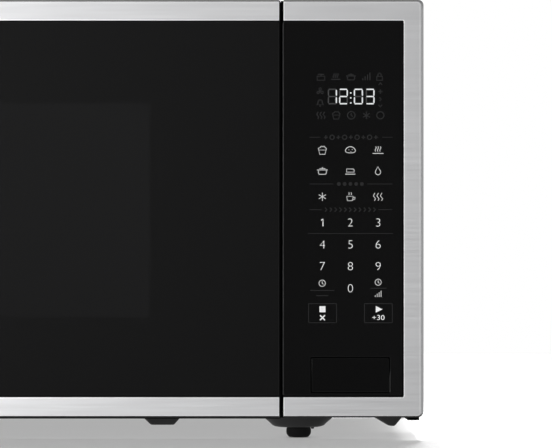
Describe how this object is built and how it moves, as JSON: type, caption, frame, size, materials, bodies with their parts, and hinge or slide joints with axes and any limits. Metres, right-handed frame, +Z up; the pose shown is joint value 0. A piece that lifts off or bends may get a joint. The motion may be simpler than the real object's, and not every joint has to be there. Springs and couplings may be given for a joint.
{
  "type": "countertop microwave",
  "caption": "Full-size countertop microwave oven with a left-hinged black glass door, steel trim, a flat touch panel, a push-to-open button and a glass turntable.",
  "frame": {"origin": "centre of the bounding box's bottom face, on the plane the feet rest on", "axes": "+X to the right seen from the front, -Y out of the front (door and control panel), +Z up"},
  "size_m": [0.613, 0.505, 0.3595],
  "materials": {
    "cover_paint": "fine-textured satin black",
    "galvanised": "zinc-coated steel, satin",
    "base_coat": "dark grey paint",
    "trim_steel": "brushed, fingerprint-resistant coat",
    "black_glass": "polished, back-printed black",
    "black_plastic": "moulded satin black",
    "gloss_black": "polished",
    "grey_plastic": "moulded",
    "white_plastic": "moulded nylon",
    "rubber_black": "moulded",
    "cavity_enamel": "grey speckled coating",
    "mica": "pressed mica sheet",
    "clear_glass": "clear",
    "clear_film": "clear polymer window",
    "screen_steel": "black coat",
    "lamination": "varnished laminations",
    "copper": "enamelled winding",
    "aluminium": "bare",
    "board": "epoxy board",
    "spring_steel": "bright wire",
    "screw_zinc": "zinc plated",
    "display": "display window",
    "lead_red": "silicone insulation"
  },
  "bodies": {
    "cabinet": {"outer_cover": "cover_paint", "rear_panel": "galvanised", "rear_spacers": "black_plastic", "base_plate": "base_coat", "rubber_feet": "rubber_black", "cavity_front_plate": "cavity_enamel", "cavity_wrapper": "cavity_enamel", "cavity_back": "cavity_enamel", "waveguide_cover": "mica", "waveguide": "galvanised", "magnetron_yoke": "galvanised", "magnetron_tube": "aluminium", "magnetron_fins": "aluminium", "transformer_core": "lamination", "transformer_windings": "copper", "high_voltage_capacitor": "aluminium", "high_voltage_diode": "black_plastic", "fan_shroud": "grey_plastic", "fan_motor": "lamination", "air_duct": "grey_plastic", "cavity_lamp": "white_plastic", "noise_filter_board": "board", "cord_grommet": "rubber_black", "thermal_cutouts": "black_plastic", "latch_board": "white_plastic", "interlock_switches": "black_plastic", "turntable_motor": "galvanised", "hinge_brackets": "galvanised", "hinge_pins": "spring_steel", "control_panel_trim": "trim_steel", "control_glass": "black_glass", "control_panel_frame": "black_plastic", "touch_sensor_sheet": "gloss_black", "display_module": "display", "control_board": "board", "button_spring": "spring_steel", "wiring_harness": "lead_red", "chassis_screws": "screw_zinc"},
    "door": {"door_trim_frame": "trim_steel", "door_glass": "black_glass", "door_frame": "black_plastic", "door_inner_panel": "screen_steel", "door_screen": "screen_steel", "door_inner_window": "clear_film", "choke_cover": "black_plastic", "hinge_bushes": "white_plastic", "latch_spring": "spring_steel", "door_screws": "screw_zinc"},
    "latch": {"latch_hooks": "white_plastic"},
    "open_button": {"open_button": "gloss_black"},
    "release_lever": {"release_lever": "white_plastic"},
    "plungers": {"switch_plungers": "white_plastic"},
    "turntable_drive": {"turntable_coupler": "white_plastic"},
    "tray": {"turntable_tray": "clear_glass"},
    "roller_guide": {"roller_ring": "grey_plastic"},
    "wheel_a": {"roller_wheel_a": "white_plastic"},
    "wheel_b": {"roller_wheel_b": "white_plastic"},
    "wheel_c": {"roller_wheel_c": "white_plastic"},
    "fan": {"fan_blade": "grey_plastic", "fan_shaft": "spring_steel"}
  },
  "joints": [
    {"name": "door_swing", "type": "hinge", "parent": "cabinet", "child": "door", "pos_m": [-0.295, -0.228, 0.189], "axis": [0, 0, -1], "range_deg": [0, 100]},
    {"name": "latch_lift", "type": "slide", "parent": "door", "child": "latch", "axis": [0, 0, 1], "range_m": [0, 0.0036], "stiffness_N_per_m": 400, "springref_m": -0.004, "deforming": ["latch_spring"]},
    {"name": "button_travel", "type": "slide", "parent": "cabinet", "child": "open_button", "axis": [0, 1, 0], "range_m": [0, 0.005], "stiffness_N_per_m": 500, "springref_m": -0.003, "deforming": ["button_spring"]},
    {"name": "lever_turn", "type": "hinge", "parent": "cabinet", "child": "release_lever", "pos_m": [0.2, -0.209, 0.086], "axis": [1, 0, 0], "range_deg": [0, 10]},
    {"name": "plunger_travel", "type": "slide", "parent": "cabinet", "child": "plungers", "axis": [0, 1, 0], "range_m": [0, 0.0012], "stiffness_N_per_m": 500, "springref_m": -0.001},
    {"name": "turntable_spin", "type": "hinge", "parent": "cabinet", "child": "turntable_drive", "pos_m": [-0.06, 0.00975, 0.05], "axis": [0, 0, 1], "continuous": true},
    {"name": "tray_lift", "type": "slide", "parent": "turntable_drive", "child": "tray", "axis": [0, 0, 1], "range_m": [0, 0.08]},
    {"name": "ring_spin", "type": "hinge", "parent": "cabinet", "child": "roller_guide", "pos_m": [-0.06, 0.00975, 0.05], "axis": [0, 0, 1], "continuous": true},
    {"name": "wheel_a_roll", "type": "hinge", "parent": "roller_guide", "child": "wheel_a", "pos_m": [-0.06, 0.12175, 0.05205], "axis": [0, 1, 0], "continuous": true},
    {"name": "wheel_b_roll", "type": "hinge", "parent": "roller_guide", "child": "wheel_b", "pos_m": [-0.15699, -0.04625, 0.05205], "axis": [-0.866, -0.5, 0], "continuous": true},
    {"name": "wheel_c_roll", "type": "hinge", "parent": "roller_guide", "child": "wheel_c", "pos_m": [0.03699, -0.04625, 0.05205], "axis": [0.866, -0.5, 0], "continuous": true},
    {"name": "fan_spin", "type": "hinge", "parent": "cabinet", "child": "fan", "pos_m": [0.232, 0.2, 0.248], "axis": [0, 1, 0], "continuous": true}
  ],
  "couplings": [
    {"joint": "lever_turn", "follows": "button_travel", "rad_per_m": 34.4},
    {"joint": "ring_spin", "follows": "turntable_spin", "ratio": 0.5},
    {"joint": "wheel_a_roll", "follows": "turntable_spin", "ratio": -6.7879},
    {"joint": "wheel_b_roll", "follows": "turntable_spin", "ratio": -6.7879},
    {"joint": "wheel_c_roll", "follows": "turntable_spin", "ratio": -6.7879}
  ]
}
